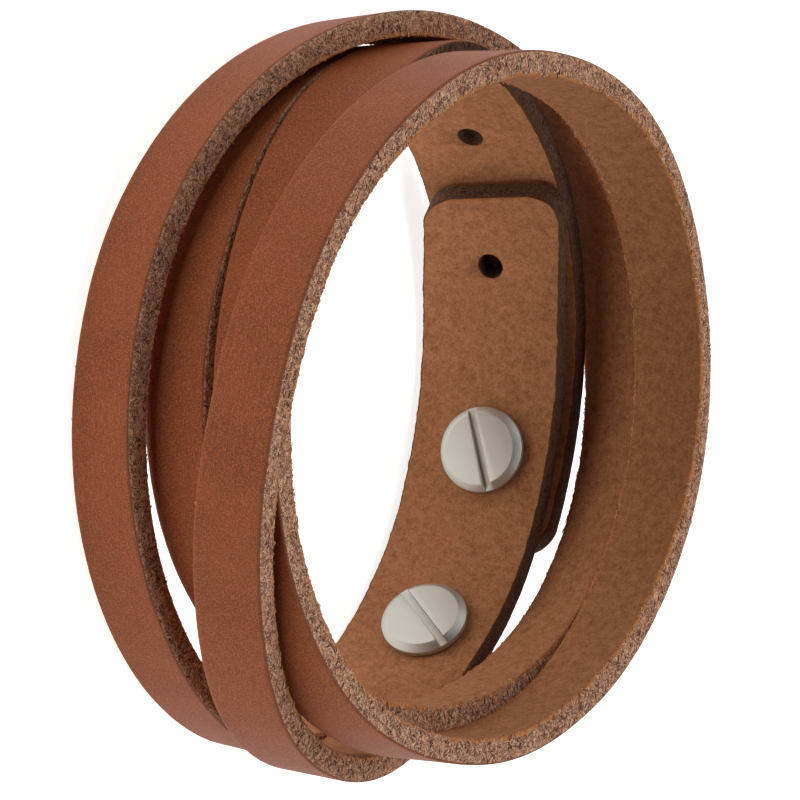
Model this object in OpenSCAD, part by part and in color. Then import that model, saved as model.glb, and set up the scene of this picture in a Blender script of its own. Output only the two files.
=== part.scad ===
/* [Strap] */
// Thickness of the leather
leather_t = 2.8; // [2:0.1:3]
// Width of each of the two strands
strand_w = 8.4; // [7:0.1:8.6]
// Width of the cut between the strands
slit_w = 0.3; // [0.2:0.05:0.6]
// Corner radius at the two free ends
end_r = 3.4; // [1:0.1:4]
// Angle between two sections of the strap
section_step = 5; // [3:1:10]

/* [Holes] */
// Diameter of the holes that the posts pass through
hole_d = 4.2; // [4.1:0.1:4.6]
// Diameter of the holes that stay empty
spare_d = 3; // [2.4:0.1:4]

/* [Screws] */
// Diameter of the slotted screw heads
head_d = 9.8; // [8:0.1:10.4]
// Height of the slotted screw heads
head_t = 1.3; // [1:0.1:2]
// Width of the bevel round the heads and caps
bevel_w = 0.8; // [0.2:0.1:1.2]
// Diameter of the flat caps on the outer face
cap_d = 9; // [8:0.1:10]
// Height of the flat caps
cap_t = 1; // [0.8:0.1:1.6]
// Outer diameter of the barrel on each cap
barrel_d = 4; // [3.6:0.1:4]
// Diameter of the threaded shank, drawn smooth
shank_d = 2.6; // [2:0.1:2.8]
// Width of the screwdriver slot
slot_w = 0.9; // [0.6:0.1:1.4]
// Depth of the screwdriver slot
slot_depth = 0.6; // [0.3:0.1:0.8]
// How far the screws sit above the middle of the tab
screw_rise = 0.6; // [0:0.1:1]

/* [Hidden] */

// Angles run round the wrist in the sense of the winding: 0 at +X, 90 at -Y,
// 180 at -X and 270 at +Y. The strap makes a little over two turns.
inner_end = -142;
outer_end = 652;
slit_from = -20;
slit_to = 548;
// Angle that each rounded end takes up
end_span = 7;

// Middle of the full-width inner tab: angle, radius, height, tilt
inner_tab = [
    [-150, 34.3, 12.2, 8],
    [-120, 32.0, 9.2, 10],
    [-90, 30.5, 8.7, 10],
    [-60, 31.1, 8.7, 9],
    [-30, 33.4, 8.5, 6]
];

// Strand nearer the floor, from the inner tab to the outer: angle, radius, height, tilt
low_strand = [
    [0, 36.0, 5.5, 4],
    [30, 36.5, 5.5, 4],
    [60, 36.5, 4.7, 5],
    [90, 37.3, 4.4, 8],
    [120, 39.0, 5.0, 10],
    [150, 41.0, 7.7, 10],
    [180, 42.2, 12.4, 9],
    [210, 41.4, 16.5, 3],
    [240, 39.6, 19.8, -4],
    [270, 37.1, 21.9, -13],
    [300, 34.6, 22.6, -15],
    [330, 32.4, 21.9, -11],
    [360, 31.8, 19.9, -5],
    [390, 32.3, 16.3, -1],
    [420, 33.0, 12.6, 1],
    [450, 33.8, 10.6, 1],
    [480, 35.2, 9.4, 1],
    [510, 37.3, 8.0, 4]
];

// Strand further from the floor: angle, radius, height, tilt
high_strand = [
    [0, 37.2, 14.2, 3],
    [30, 38.6, 16.3, 0],
    [60, 38.1, 19.4, -1],
    [90, 37.6, 22.0, 1],
    [120, 38.3, 23.7, 2],
    [150, 39.0, 25.7, 2],
    [180, 39.1, 26.6, 5],
    [210, 39.5, 27.7, 9],
    [240, 37.5, 28.6, 8],
    [270, 34.1, 30.2, 3],
    [300, 31.8, 31.0, -4],
    [330, 32.1, 30.7, -9],
    [360, 33.9, 28.6, -3],
    [390, 35.5, 24.5, -3],
    [420, 34.6, 21.5, 1],
    [450, 33.6, 19.4, 1],
    [480, 35.0, 17.9, -6],
    [510, 37.3, 16.5, -11]
];

// Middle of the full-width outer tab: angle, radius, height, tilt
outer_tab = [
    [540, 38.9, 11.3, 8],
    [570, 37.2, 10.5, 8],
    [600, 35.4, 9.5, 9],
    [630, 34.0, 8.9, 10],
    [660, 34.4, 8.4, 8],
    [690, 36.5, 7.2, 4]
];

// Places on the tabs, as angles: two screws, one empty hole inside, two outside
double_at = -85.5;
single_at = -44;
spare_inner_at = -126;
spare_outer_at = [598, 567];
// Turn of each screwdriver slot from the width of the strap
double_slot = 68;
single_slot = 36;
// Clearance between a barrel and its shank, and between metal and leather
fit_gap = 0.1;
bore_d = shank_d + 2 * fit_gap;

// Angle of one turn round the wrist, and between two rows of the tables
turn = 360;
row_step = 30;
// From the axis of the winding to the middle of the outline, and up off the floor
middle = [2.6, -0.15, 0.05];
first_angle = inner_tab[0][0];

// Edge strands of a tab lie half a strand to each side of its middle
function beside(row, side) = [
    row[0],
    row[1] + side * strand_w / 2 * sin(row[3]),
    row[2] + side * strand_w / 2 * cos(row[3]),
    row[3]
];

function strand_rows(side) = concat(
    [for (row = inner_tab) beside(row, side)],
    side > 0 ? high_strand : low_strand,
    [for (row = outer_tab) beside(row, side)]
);
low_rows = strand_rows(-1);
high_rows = strand_rows(1);

// Smooth curve through the rows of a table
function blend(p0, p1, p2, p3, f) =
    0.5 * (2 * p1 + (p2 - p0) * f + (2 * p0 - 5 * p1 + 4 * p2 - p3) * f * f
    + (3 * p1 - p0 - 3 * p2 + p3) * f * f * f);

function at(rows, angle) =
    let (u = (angle - first_angle) / row_step)
    let (i = min(floor(u), len(rows) - 2))
    blend(rows[max(i - 1, 0)], rows[i], rows[i + 1], rows[min(i + 2, len(rows) - 1)], u - i);

function is_tab(angle) = angle <= slit_from || angle >= slit_to;

// How much wider a cut across the strand is where it climbs round the wrist
function climb(rows, angle) =
    let (rise = at(rows, angle + 0.5)[2] - at(rows, angle - 0.5)[2])
    sqrt(1 + pow(rise / (at(rows, angle)[1] * PI / 180), 2));

// One corner of a strand: edge is -1 low or 1 high, face is -1 inner or 1 outer
function corner(side, angle, edge, face, trim) =
    let (rows = side > 0 ? high_rows : low_rows)
    let (row = at(rows, angle))
    let (cut = edge == -side ? (is_tab(angle) ? 0 : slit_w / 2) : trim)
    let (half = strand_w / 2 * climb(rows, angle) - cut)
    let (r = row[1] + edge * half * sin(row[3]) + face * leather_t / 2 * cos(row[3]))
    let (z = row[2] + edge * half * cos(row[3]) - face * leather_t / 2 * sin(row[3]))
    middle + [r * cos(angle), -r * sin(angle), z];

// Stations along the strap: angle, and how much the rounded end trims each side
corner_steps = [90, 67.5, 45, 22.5, 0];
function end_back(bend) = end_r * (1 - sin(bend)) / (at(low_rows, inner_end)[1] * PI / 180);
function end_trim(bend) = end_r * (1 - cos(bend));
stations = concat(
    [for (bend = corner_steps) [inner_end + end_back(bend), end_trim(bend)]],
    [for (angle = [inner_end + end_span:section_step:outer_end - end_span]) [angle, 0]],
    [for (i = [4:-1:0]) [outer_end - end_back(corner_steps[i]), end_trim(corner_steps[i])]]
);

// Corner order at each station: four of the low strand, then four of the high strand
corner_order = [[-1, 1], [1, 1], [1, -1], [-1, -1]];
strap_points = [
    for (s = stations, side = [-1, 1], c = corner_order)
        corner(side, s[0], c[0], c[1], s[1])
];

// The two halves of a tab share the points along its middle
function point_id(i, k) =
    8 * i + (is_tab(stations[i][0]) && k == 4 ? 1 : is_tab(stations[i][0]) && k == 7 ? 2 : k);
function panel(i, a, b) = [
    [point_id(i, a), point_id(i, b), point_id(i + 1, b)],
    [point_id(i, a), point_id(i + 1, b), point_id(i + 1, a)]
];
function panels(i) = let (joined = is_tab(stations[i][0]) && is_tab(stations[i + 1][0])) concat(
    panel(i, 0, 1), panel(i, 4, 5), panel(i, 2, 3), panel(i, 6, 7),
    panel(i, 3, 0), panel(i, 5, 6),
    joined ? [] : concat(panel(i, 1, 2), panel(i, 7, 4))
);
last = len(stations) - 1;
end_faces = [
    [point_id(0, 3), point_id(0, 2), point_id(0, 1), point_id(0, 0)],
    [point_id(0, 2), point_id(0, 6), point_id(0, 5), point_id(0, 1)],
    [point_id(last, 0), point_id(last, 1), point_id(last, 2), point_id(last, 3)],
    [point_id(last, 1), point_id(last, 5), point_id(last, 6), point_id(last, 2)]
];
strap_faces = concat([for (i = [0:last - 1]) each panels(i)], end_faces);

// Middle of a tab at an angle: angle, radius, height, tilt
function tab_at(angle) = (at(low_rows, angle) + at(high_rows, angle)) / 2;

// How far the leather turns from a circle round the axis
function lean(angle) =
    atan((tab_at(angle + 1)[1] - tab_at(angle - 1)[1]) / (tab_at(angle)[1] * 2 * PI / 180));

// Puts a shape drawn along +Z, outwards, on the middle of the leather of a tab
module on_tab(angle) {
    row = tab_at(angle);
    translate(middle + [row[1] * cos(angle), -row[1] * sin(angle), row[2]])
        rotate([0, 0, lean(angle) - angle])
            rotate([0, 90 + row[3], 0])
                children();
}

module hole(angle, d, from, to) {
    on_tab(angle)
        translate([0, 0, from])
            cylinder(d = d, h = to - from, $fn = 48);
}

module screw_hole(angle, to) {
    on_tab(angle)
        translate([-screw_rise, 0, -leather_t])
            cylinder(d = hole_d, h = leather_t + to, $fn = 48);
}

// Flat head or cap with a bevelled rim, its seat at z = 0
module disc(d, t) {
    rotate_extrude($fn = 96)
        polygon([[0, 0], [d / 2, 0], [d / 2, t / 2], [d / 2 - bevel_w, t], [0, t]]);
}

// The inner face is hollow, so a flat head rests on it by its rim
function seat(angle) = -leather_t / 2 - head_d * head_d / 8 / (tab_at(angle)[1] - leather_t / 2) - fit_gap;
// Outer face of what each screw clamps, above the middle of the inner tab
double_top = leather_t / 2 + fit_gap
    + (tab_at(double_at + 2 * turn)[1] - tab_at(double_at)[1]) * cos(tab_at(double_at)[3]);
single_top = leather_t / 2 + fit_gap;

module screw(angle, top, slot_turn) {
    on_tab(angle) translate([-screw_rise, 0, 0]) {
        difference() {
            translate([0, 0, seat(angle)]) mirror([0, 0, 1]) disc(head_d, head_t);
            translate([0, 0, seat(angle) - head_t]) rotate([0, 0, slot_turn])
                cube([2 * head_d, slot_w, 2 * slot_depth], center = true);
        }
        translate([0, 0, seat(angle) - fit_gap])
            cylinder(d = shank_d, h = top - fit_gap - seat(angle), $fn = 48);
    }
}

module post(angle, top) {
    on_tab(angle) translate([-screw_rise, 0, 0]) {
        translate([0, 0, top]) disc(cap_d, cap_t);
        difference() {
            translate([0, 0, seat(angle) + fit_gap])
                cylinder(d = barrel_d, h = top - seat(angle) - fit_gap / 2, $fn = 48);
            translate([0, 0, seat(angle)])
                cylinder(d = bore_d, h = top - seat(angle), $fn = 48);
        }
    }
}

module strap() {
    color("#9c5c40") difference() {
        polyhedron(points = strap_points, faces = strap_faces, convexity = 12);
        screw_hole(double_at, double_top + leather_t);
        screw_hole(single_at, single_top + leather_t);
        hole(spare_inner_at, spare_d, -leather_t, 0.6 * leather_t);
        for (angle = spare_outer_at) hole(angle, spare_d, -0.6 * leather_t, 0.6 * leather_t);
    }
}
module screw_double() { color("#c9c6bb") screw(double_at, double_top, double_slot); }
module screw_single() { color("#c9c6bb") screw(single_at, single_top, single_slot); }
module post_double() { color("#c9c6bb") post(double_at, double_top); }
module post_single() { color("#c9c6bb") post(single_at, single_top); }

strap();
screw_double();
screw_single();
post_double();
post_single();
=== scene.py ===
import math
import bmesh
import bpy
import numpy as np
from mathutils import Matrix, Vector, noise


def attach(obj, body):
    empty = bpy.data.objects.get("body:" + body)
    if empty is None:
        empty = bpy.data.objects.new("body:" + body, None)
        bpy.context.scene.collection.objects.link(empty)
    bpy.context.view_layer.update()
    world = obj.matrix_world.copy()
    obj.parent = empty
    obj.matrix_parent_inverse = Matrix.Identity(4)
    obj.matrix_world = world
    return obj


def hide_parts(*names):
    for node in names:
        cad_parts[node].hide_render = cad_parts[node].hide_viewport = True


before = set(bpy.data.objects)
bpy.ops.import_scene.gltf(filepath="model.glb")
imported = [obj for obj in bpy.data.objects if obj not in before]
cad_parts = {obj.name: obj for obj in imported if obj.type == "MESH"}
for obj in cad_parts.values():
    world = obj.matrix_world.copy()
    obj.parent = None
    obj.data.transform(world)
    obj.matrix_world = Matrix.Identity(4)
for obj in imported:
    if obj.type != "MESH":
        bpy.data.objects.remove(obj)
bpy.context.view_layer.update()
scene = bpy.context.scene
mm = 0.001
rowMiddle = (2.6, -0.15, 0.05)  # from the axis of the winding to the middle of the outline, mm


# sRGB hex to linear RGBA
def linearColour(hexCode):
    parts = [int(hexCode[i:i + 2], 16) / 255 for i in (1, 3, 5)]
    return [c / 12.92 if c <= 0.04045 else ((c + 0.055) / 1.055) ** 2.4 for c in parts] + [1.0]


# texture scale that repeats once in a size in mm
def perMm(size):
    return 1 / (size * mm)


# a node with its settings, and its inputs as values or as links from other nodes
def addNode(tree, kind, settings=None, inputs=None):
    node = tree.nodes.new(kind)
    for name, value in (settings or {}).items():
        setattr(node, name, value)
    for key, value in (inputs or {}).items():
        if isinstance(value, bpy.types.NodeSocket):
            tree.links.new(value, node.inputs[key])
        else:
            node.inputs[key].default_value = value
    return node


def newMaterial(name):
    material = bpy.data.materials.new(name)
    material.use_nodes = True
    material.node_tree.nodes.clear()
    return material, material.node_tree


# places and colours of a colour ramp
def setRamp(node, stops):
    ramp = node.color_ramp
    while len(ramp.elements) < len(stops):
        ramp.elements.new(0.5)
    for element, (place, colour) in zip(ramp.elements, stops):
        element.position, element.color = place, linearColour(colour)
    return node.outputs["Color"]


def addObject(name, data):
    thing = bpy.data.objects.new(name, data)
    scene.collection.objects.link(thing)
    return thing


# a Geometry Nodes tree with one named input for each size
def newGeometryTree(name, labels):
    tree = bpy.data.node_groups.new(name, "GeometryNodeTree")
    tree.interface.new_socket("Geometry", in_out="INPUT", socket_type="NodeSocketGeometry")
    tree.interface.new_socket("Geometry", in_out="OUTPUT", socket_type="NodeSocketGeometry")
    for label in labels:
        kind = "NodeSocketInt" if label == "Seed" else "NodeSocketFloat"
        tree.interface.new_socket(label, in_out="INPUT", socket_type=kind)
    return tree, tree.nodes.new("NodeGroupInput"), tree.nodes.new("NodeGroupOutput")


# runs a tree on an object once, with any modifiers after it, and gives back a plain mesh
def plainMesh(base, tree=None, values=None, after=()):
    if tree:
        modifier = base.modifiers.new("tree", "NODES")
        modifier.node_group = tree
        for item in tree.interface.items_tree:
            if item.in_out == "INPUT" and item.name in (values or {}):
                modifier[item.identifier] = values[item.name]
    for kind, settings in after:
        modifier = base.modifiers.new(kind.lower(), kind)
        for name, value in settings.items():
            setattr(modifier, name, value)
    depsgraph = bpy.context.evaluated_depsgraph_get()
    finished = base.evaluated_get(depsgraph)
    mesh = bpy.data.meshes.new_from_object(finished, preserve_all_data_layers=True, depsgraph=depsgraph)
    base.modifiers.clear()
    return mesh


cameraView = {
    "viewAngle": 57.75,             # between the axis of the bracelet and the line of sight, degrees
    "roll": 6.67,
    "distance": 546.3,              # mm
    "focalPixels": 5073.5,
    "framePixels": 800,
    "target": (2.6, -0.15, 17.05),  # mm
    "targetPixel": (406.4, 421.2),
    "sensorWidth": 36,              # mm
    "clip": (0.02, 20),             # metres
}


# right, up and towards the camera, as unit vectors
def cameraAxes(look):
    v, roll = math.radians(look["viewAngle"]), math.radians(look["roll"])
    towards = Vector((0, -math.sin(v), math.cos(v)))
    right, up = Vector((0, math.cos(v), math.sin(v))), Vector((-1, 0, 0))
    return (right * math.cos(roll) + up * math.sin(roll),
            up * math.cos(roll) - right * math.sin(roll), towards)


def makeCamera(look):
    right, up, towards = cameraAxes(look)
    data = bpy.data.cameras.new("camera")
    data.sensor_fit = "HORIZONTAL"
    data.sensor_width = look["sensorWidth"]
    data.lens = look["focalPixels"] / look["framePixels"] * data.sensor_width
    half = look["framePixels"] / 2
    data.shift_x = (half - look["targetPixel"][0]) / look["framePixels"]
    data.shift_y = (look["targetPixel"][1] - half) / look["framePixels"]
    data.clip_start, data.clip_end = look["clip"]
    camera = addObject("camera", data)
    place = (Vector(look["target"]) + towards * look["distance"]) * mm
    camera.matrix_world = Matrix.Translation(place) @ Matrix((right, up, towards)).transposed().to_4x4()
    scene.camera = camera


studio = {
    "worldStrength": 0.03,
    "floorHalf": 3.0,      # metres
    "floorColour": "#eeeeed",
    "floorGlow": 0.95,
    # place as right, up and towards the camera, in metres from the bracelet; size; watts
    "lights": {
        "rightSoftbox": ((0.95, 0.10, 0.30), 0.55, 2.8),
        "highSoftbox": ((0.60, 0.70, 0.40), 0.55, 1.6),
        "lowSoftbox": ((0.70, -0.50, 0.40), 0.55, 3.3),
    },
}


def makeStudio(sizes):
    world = bpy.data.worlds.new("studioWorld")
    scene.world = world
    world.use_nodes = True
    sky = world.node_tree.nodes["Background"].inputs
    sky["Color"].default_value, sky["Strength"].default_value = (1, 1, 1, 1), sizes["worldStrength"]
    half = sizes["floorHalf"]
    mesh = bpy.data.meshes.new("paleFloor")
    corners = [(-half, -half, 0), (half, -half, 0), (half, half, 0), (-half, half, 0)]
    mesh.from_pydata(corners, [], [(0, 1, 2, 3)])
    floor = addObject("paleFloor", mesh)
    # sheet lit from below: an even pale ground with soft shadows
    material, tree = newMaterial("matWhiteAcrylic")
    colour = linearColour(sizes["floorColour"])
    shader = addNode(tree, "ShaderNodeBsdfPrincipled", inputs={
        "Base Color": colour, "Roughness": 0.9, "Emission Color": colour,
        "Emission Strength": sizes["floorGlow"]})
    addNode(tree, "ShaderNodeOutputMaterial", inputs={"Surface": shader.outputs["BSDF"]})
    mesh.materials.append(material)
    right, up, towards = cameraAxes(cameraView)
    for name, (place, size, watts) in sizes["lights"].items():
        data = bpy.data.lights.new(name, "AREA")
        data.shape, data.size, data.energy = "SQUARE", size, watts
        light = addObject(name, data)
        light.location = right * place[0] + up * place[1] + towards * place[2]
        light.rotation_euler = light.location.to_track_quat("Z", "Y").to_euler()
    scene.view_settings.view_transform = "Standard"


makeCamera(cameraView)
makeStudio(studio)
print("stage 1: camera, floor and lights")


strapSizes = {  # mm, and degrees round the wrist
    "leather": 2.8, "strand": 8.4, "slit": 0.3, "endRadius": 3.4,
    "innerEnd": -142, "outerEnd": 652, "slitFrom": -20, "slitTo": 548,
    "station": 0.3,       # length of one face along the strap
    "meanRadius": 35.5,   # of the winding, for the number of stations
    "weld": 0.01,         # points nearer than this are one
    "grainCorner": 0.35, "suedeCorner": 0.2, "endCorner": 0.3, "slitChamfer": 0.3,
    "grainMargin": 0.2, "suedeMargin": 0.3,            # narrow faces beside the corners
    "slitGrow": 3,        # length over which the slit's corners go from sharp to round
    "wornCorner": 1.5, "wornFrom": 385, "wornTo": 560,  # where the lower strand is rubbed round
    "wornFade": 20, "rubbedFrom": 0.3,  # degrees to full wear; share of it where grain covers the corner
    "wornInset": 0.1,     # the rim's dark burnish is rubbed off there
    "rimRange": 10,       # distance from a cut edge that the section map tells apart
    # along the strap, from and to, with the share of painted shade there on the tabs' edges
    "shadedTabEdges": ((60, 72, 1.0, 0.0), (428, 440, 0.0, 1.0)),
    "screwHole": 4.2, "spareHole": 3.0, "screwRise": 0.6,  # rise: above the middle of the tabs
    "screwsAt": {"double": -85.5, "single": -44}, "spareInnerAt": -126, "spareOuterAt": (598, 567),
}
rowStep = 30  # degrees between two rows of the tables
grainSlot, edgeSlot, suedeSlot = 0, 1, 2  # places in the strap's list of materials

# full-width inner tab: angle, radius, height, tilt of its middle
innerTab = [
    (-150, 34.3, 12.2, 8), (-120, 32.0, 9.2, 10), (-90, 30.5, 8.7, 10), (-60, 31.1, 8.7, 9),
    (-30, 33.4, 8.5, 6),
]
# strand nearer the floor, from the inner tab to the outer
lowStrand = [
    (0, 36.0, 5.5, 4), (30, 36.5, 5.5, 4), (60, 36.5, 4.7, 5), (90, 37.3, 4.4, 8),
    (120, 39.0, 5.0, 10), (150, 41.0, 7.7, 10), (180, 42.2, 12.4, 9), (210, 41.4, 16.5, 3),
    (240, 39.6, 19.8, -4), (270, 37.1, 21.9, -13), (300, 34.6, 22.6, -15), (330, 32.4, 21.9, -11),
    (360, 31.8, 19.9, -5), (390, 32.3, 16.3, -1), (420, 33.0, 12.6, 1), (450, 33.8, 10.6, 1),
    (480, 35.2, 9.4, 1), (510, 37.3, 8.0, 4),
]
# strand further from the floor
highStrand = [
    (0, 37.2, 14.2, 3), (30, 38.6, 16.3, 0), (60, 38.1, 19.4, -1), (90, 37.6, 22.0, 1),
    (120, 38.3, 23.7, 2), (150, 39.0, 25.7, 2), (180, 39.1, 26.6, 5), (210, 39.5, 27.7, 9),
    (240, 37.5, 28.6, 8), (270, 34.1, 30.2, 3), (300, 31.8, 31.0, -4), (330, 32.1, 30.7, -9),
    (360, 33.9, 28.6, -3), (390, 35.5, 24.5, -3), (420, 34.6, 21.5, 1), (450, 33.6, 19.4, 1),
    (480, 35.0, 17.9, -6), (510, 37.3, 16.5, -11),
]
# full-width outer tab
outerTab = [
    (540, 38.9, 11.3, 8), (570, 37.2, 10.5, 8), (600, 35.4, 9.5, 9), (630, 34.0, 8.9, 10),
    (660, 34.4, 8.4, 8), (690, 36.5, 7.2, 4),
]


# on a tab, each strand lies half its width to one side of the middle
def strandRows(side):
    def beside(row):
        tilt, half = math.radians(row[3]), side * strapSizes["strand"] / 2
        return (row[0], row[1] + half * math.sin(tilt), row[2] + half * math.cos(tilt), row[3])
    middleRows = highStrand if side > 0 else lowStrand
    return np.array([beside(row) for row in innerTab] + middleRows + [beside(row) for row in outerTab])


strandTable = {-1: strandRows(-1), 1: strandRows(1)}


# radius, height and tilt on the smooth curve through the rows
def alongTable(rows, angles):
    u = (np.asarray(angles, float) - rows[0][0]) / rowStep
    i = np.minimum(np.floor(u).astype(int), len(rows) - 2)
    f = (u - i)[:, None]
    last = len(rows) - 1
    p0, p1, p2, p3 = rows[np.maximum(i - 1, 0)], rows[i], rows[i + 1], rows[np.minimum(i + 2, last)]
    found = 0.5 * (2 * p1 + (p2 - p0) * f + (2 * p0 - 5 * p1 + 4 * p2 - p3) * f ** 2
                   + (3 * p1 - p0 - 3 * p2 + p3) * f ** 3)
    return found[:, 1], found[:, 2], found[:, 3]


def tabAt(angle):
    low = np.array(alongTable(strandTable[-1], [angle]))[:, 0]
    high = np.array(alongTable(strandTable[1], [angle]))[:, 0]
    return (low + high) / 2


# puts a mesh drawn along +Z, outwards, on the middle of the leather of a tab
def onTab(angle, rise=0.0):
    radius, height, tilt = tabAt(angle)
    turn = math.radians(angle)
    lean = math.atan((tabAt(angle + 1)[0] - tabAt(angle - 1)[0]) / (radius * math.pi / 90))
    x, y = rowMiddle[0] + radius * math.cos(turn), rowMiddle[1] - radius * math.sin(turn)
    place = Vector((x, y, rowMiddle[2] + height))
    return (Matrix.Translation(place * mm) @ Matrix.Rotation(lean - turn, 4, "Z")
            @ Matrix.Rotation(math.radians(90 + tilt), 4, "Y") @ Matrix.Translation((-rise * mm, 0, 0)))


# angles of the stations, closer together at the two rounded ends
def stationAngles(sizes):
    # mm from the end
    fine = [0, 0.02, 0.08, 0.18, 0.3, 0.5, 0.8, 1.1, 1.4, 1.7, 2.0, 2.3, 2.6, 2.9, 3.2, 3.4]
    perInner = 180 / math.pi / tabAt(sizes["innerEnd"])[0]
    perOuter = 180 / math.pi / tabAt(sizes["outerEnd"])[0]
    first = [sizes["innerEnd"] + x * perInner for x in fine]
    final = [sizes["outerEnd"] - x * perOuter for x in reversed(fine)]
    count = int((final[0] - first[-1]) * math.pi / 180 * sizes["meanRadius"] / sizes["station"])
    angles = np.concatenate([first, np.linspace(first[-1], final[0], count)[1:-1], final])
    toEnd = np.minimum((angles - sizes["innerEnd"]) / perInner, (sizes["outerEnd"] - angles) / perOuter)
    return angles, np.maximum(toEnd, 0)


# how far a rounded corner stands back at a distance from its end
def arcInset(distance, radius):
    d = np.clip(radius - distance, 0, radius)
    return radius - np.sqrt(np.maximum(radius ** 2 - d ** 2, 0))


ringPlan = {"face": 4, "grainCorner": 4, "edge": 4, "suedeCorner": 2, "slitCorner": 2, "slitEdge": 3}
# last point of the grain face, its corner, the cut edge, the suede corner and the suede face
ringStops = np.cumsum([ringPlan[part] for part in ("face", "grainCorner", "edge", "suedeCorner", "face")])


# angles of the points on a rounded corner
def cornerTurns(part):
    return [math.pi / 2 * k / ringPlan[part] for k in range(1, ringPlan[part] + 1)]


# cross-section of one strand at every station: places across the strand and through the leather
def strandSection(side, sizes, angles, toEnd):
    radius, height, tilt = alongTable(strandTable[side], angles)
    perDegree = radius * math.pi / 180
    rise = alongTable(strandTable[side], angles + 0.5)[1] - alongTable(strandTable[side], angles - 0.5)[1]
    climb = np.sqrt(1 + (rise / perDegree) ** 2)
    isTab = (angles <= sizes["slitFrom"]) | (angles >= sizes["slitTo"])
    # mm along the strap, from the slit's ends outwards and inwards
    pastSlit = np.maximum(np.maximum(sizes["slitFrom"] - angles, angles - sizes["slitTo"]), 0) * perDegree
    inSlit = np.maximum(np.minimum(angles - sizes["slitFrom"], sizes["slitTo"] - angles), 0) * perDegree
    half = sizes["strand"] / 2 * climb
    free = half - arcInset(toEnd, sizes["endRadius"])
    shut = -(half - np.where(isTab, 0, sizes["slit"] / 2))
    thick = sizes["leather"] / 2 - arcInset(toEnd, sizes["endCorner"])
    opened = np.clip(inSlit / sizes["slitGrow"], 0, 1)
    worn = np.clip(np.minimum(angles - sizes["wornFrom"], sizes["wornTo"] - angles) / sizes["wornFade"], 0, 1)
    rubbed = worn * (side < 0)
    # radii of the corners at the free edge, and of those at the slit
    grain = sizes["grainCorner"] + (sizes["wornCorner"] - sizes["grainCorner"]) * rubbed
    suede = sizes["suedeCorner"]
    slitGrain, slitSuede = sizes["grainCorner"] * opened, suede * opened
    margin = sizes["grainMargin"]
    ring = [(shut + slitGrain, thick), (shut + slitGrain + margin, thick), (0 * free, thick),
            (free - grain - margin, thick), (free - grain, thick)]
    for a in cornerTurns("grainCorner"):
        ring.append((free - grain + grain * math.sin(a), thick - grain + grain * math.cos(a)))
    for k in range(1, ringPlan["edge"] + 1):
        ring.append((free, thick - grain - (2 * thick - grain - suede) * k / ringPlan["edge"]))
    for a in cornerTurns("suedeCorner"):
        ring.append((free - suede + suede * math.cos(a), -thick + suede - suede * math.sin(a)))
    margin = sizes["suedeMargin"]
    ring += [(free - suede - margin, -thick), (0 * free, -thick),
             (shut + slitSuede + margin, -thick), (shut + slitSuede, -thick)]
    for a in cornerTurns("slitCorner"):
        ring.append((shut + slitSuede * (1 - math.sin(a)), -thick + slitSuede * (1 - math.cos(a))))
    for k in range(1, ringPlan["slitEdge"] + 1):
        wall = (2 * thick - slitGrain - slitSuede) * k / ringPlan["slitEdge"]
        ring.append((shut, -thick + slitSuede + wall))
    chamfer = slitGrain * sizes["slitChamfer"]
    ring.append((shut + chamfer, thick - chamfer))
    across = np.stack([np.broadcast_to(g, free.shape) for g, f in ring], axis=1)
    through = np.stack([np.broadcast_to(f, free.shape) for g, f in ring], axis=1)
    depth = (through + thick[:, None]) / (2 * thick[:, None])
    toSlit = np.hypot(across - shut[:, None], pastSlit[:, None])
    rim = np.minimum(np.minimum(free[:, None] - across, toSlit), toEnd[:, None])
    rim = rim + sizes["wornInset"] * rubbed[:, None]
    return {"across": across, "through": through, "depth": depth, "rim": rim, "isTab": isTab,
            "rubbed": rubbed > sizes["rubbedFrom"], "radius": radius[:, None], "height": height[:, None],
            "tilt": np.radians(tilt)[:, None]}


def placeSection(side, section, angles):
    across, through, tilt = section["across"], section["through"], section["tilt"]
    reach = section["radius"] + side * across * np.sin(tilt) + through * np.cos(tilt)
    up = section["height"] + side * across * np.cos(tilt) - through * np.sin(tilt)
    turn = np.radians(angles)[:, None]
    x, y = rowMiddle[0] + reach * np.cos(turn), rowMiddle[1] - reach * np.sin(turn)
    return np.stack([x, y, rowMiddle[2] + up], axis=-1)


# smooth noise from -1 to 1 with features of a size in mm
def noiseAt(points, size, seed):
    shift = Vector((seed * 7.3, seed * 3.1, seed * 5.7))
    flat = [noise.noise(Vector(p) / size + shift) for p in points.reshape(-1, 3)]
    return np.array(flat).reshape(points.shape[:-1])


raggedness = {  # mm
    "wave": 0.05, "waveLength": 14, "waveFade": 0.8,        # of the faces, less towards the cut edges
    "edge": 0.05, "edgeLengths": (2.4, 0.9), "edgeSet": 0.6,  # Set: the noise that leaves a point where it is
    "rim": 0.18, "tuftLengths": (0.7, 1.6), "tuftSet": 0.5,
    "tuftDepth": 4,                              # tufts stand on one part in four of the thickness
    "slitShare": 0.6, "slitReach": 0.6,          # share of it on the slit's edges, and how far in
}


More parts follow.
